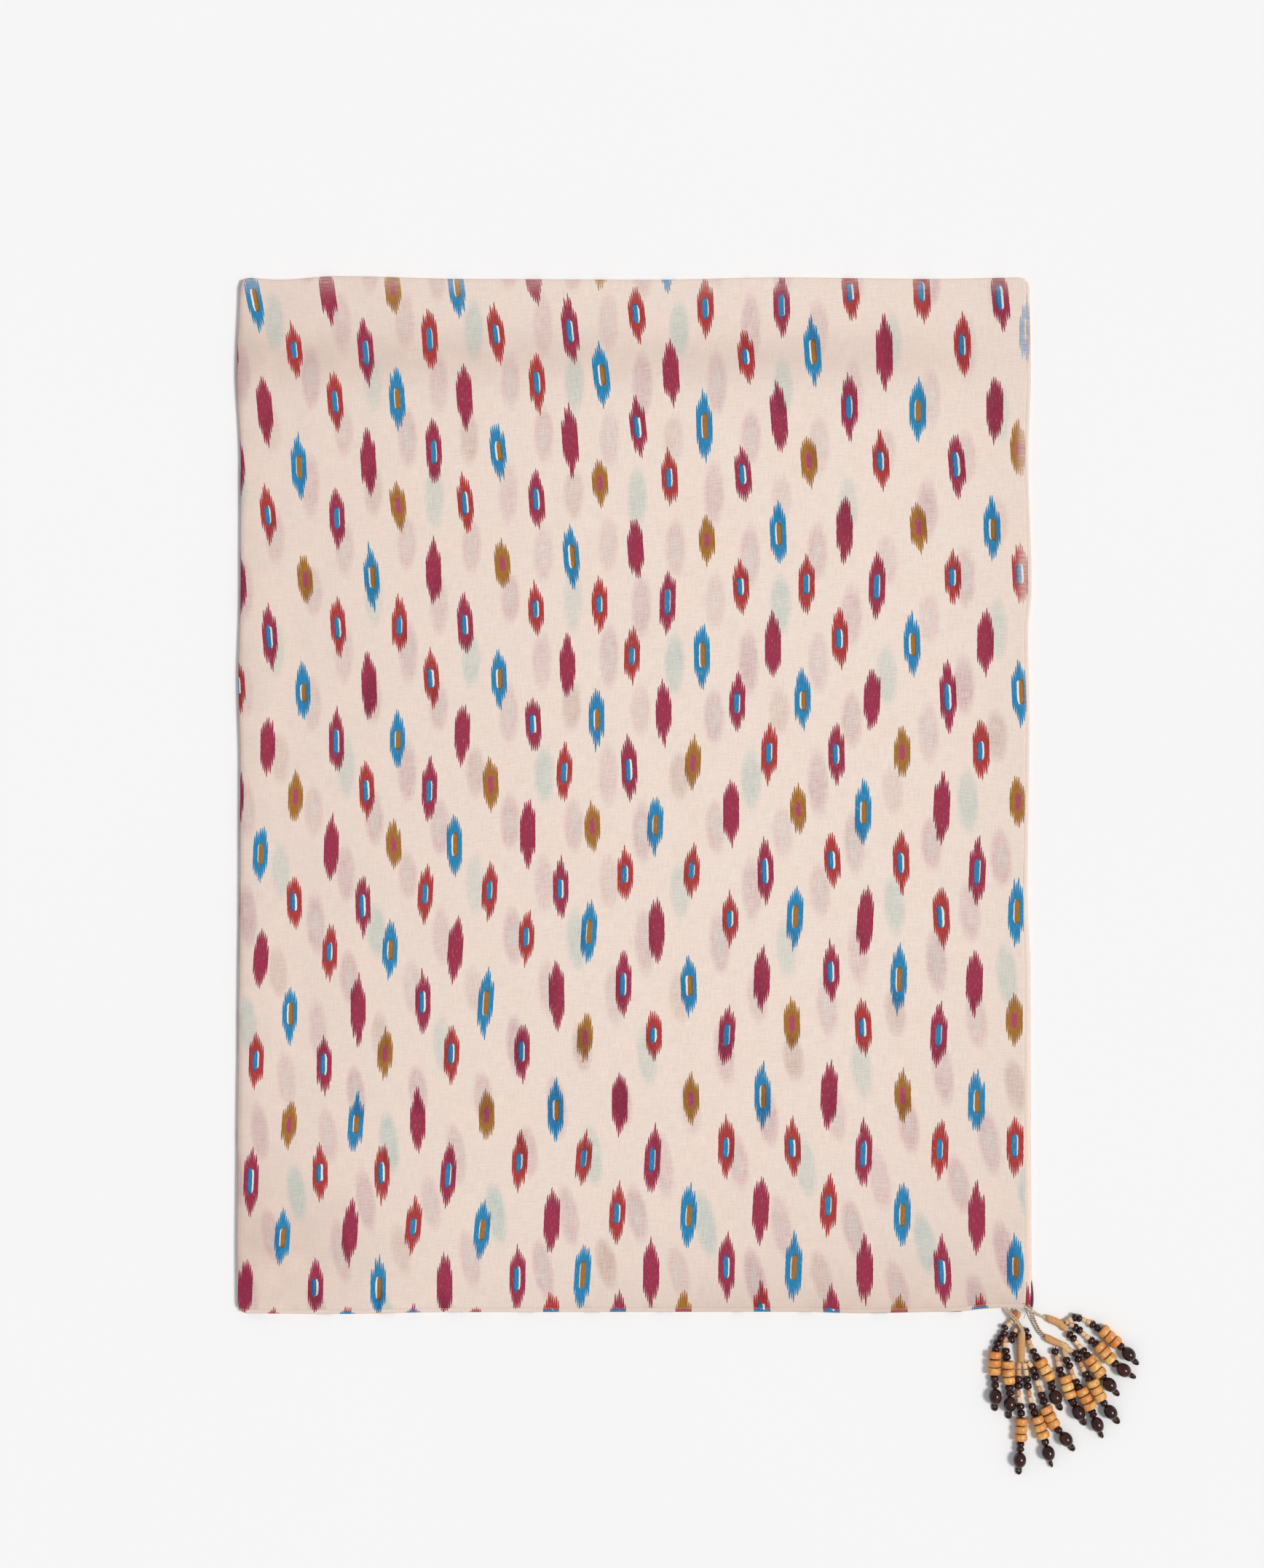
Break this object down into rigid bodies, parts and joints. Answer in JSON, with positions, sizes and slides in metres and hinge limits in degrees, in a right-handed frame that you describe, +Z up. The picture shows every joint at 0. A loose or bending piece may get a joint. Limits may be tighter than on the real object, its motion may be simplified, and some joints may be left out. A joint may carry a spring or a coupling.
{
  "type": "kerchief",
  "caption": "Sheer printed cotton kerchief, folded in quarters and laid flat, with a tassel of wooden beads at each corner.",
  "frame": {"origin": "on the surface that the cloth lies on, below the middle of the whole piece with its tassels", "axes": "+X to the right of the folded cloth, +Y towards its top fold, +Z up out of the cloth"},
  "size_m": [0.5704, 0.7563, 0.009],
  "materials": {
    "printed_cotton": "matte",
    "hem_cotton": "matte",
    "tan_thread": "matte",
    "light_wood": "satin",
    "dark_wood": "gloss"
  },
  "bodies": {
    "root": {"cloth_top": "printed_cotton", "cloth_folds": "printed_cotton", "hem_right": "hem_cotton", "hem_bottom": "hem_cotton", "tassel_a": "tan_thread", "tassel_b": "tan_thread", "tassel_c": "tan_thread", "tassel_d": "tan_thread", "wood_discs_a1": "light_wood", "wood_discs_a2": "light_wood", "wood_discs_a3": "light_wood", "wood_discs_b1": "light_wood", "wood_discs_b2": "light_wood", "wood_discs_b3": "light_wood", "wood_discs_c1": "light_wood", "wood_discs_c2": "light_wood", "wood_discs_c3": "light_wood", "wood_discs_d1": "light_wood", "wood_discs_d2": "light_wood", "wood_discs_d3": "light_wood", "end_bead_a1": "dark_wood", "end_bead_a2": "dark_wood", "end_bead_a3": "dark_wood", "end_bead_b1": "dark_wood", "end_bead_b2": "dark_wood", "end_bead_b3": "dark_wood", "end_bead_c1": "dark_wood", "end_bead_c2": "dark_wood", "end_bead_c3": "dark_wood", "end_bead_d1": "dark_wood", "end_bead_d2": "dark_wood", "end_bead_d3": "dark_wood"}
  },
  "joints": []
}
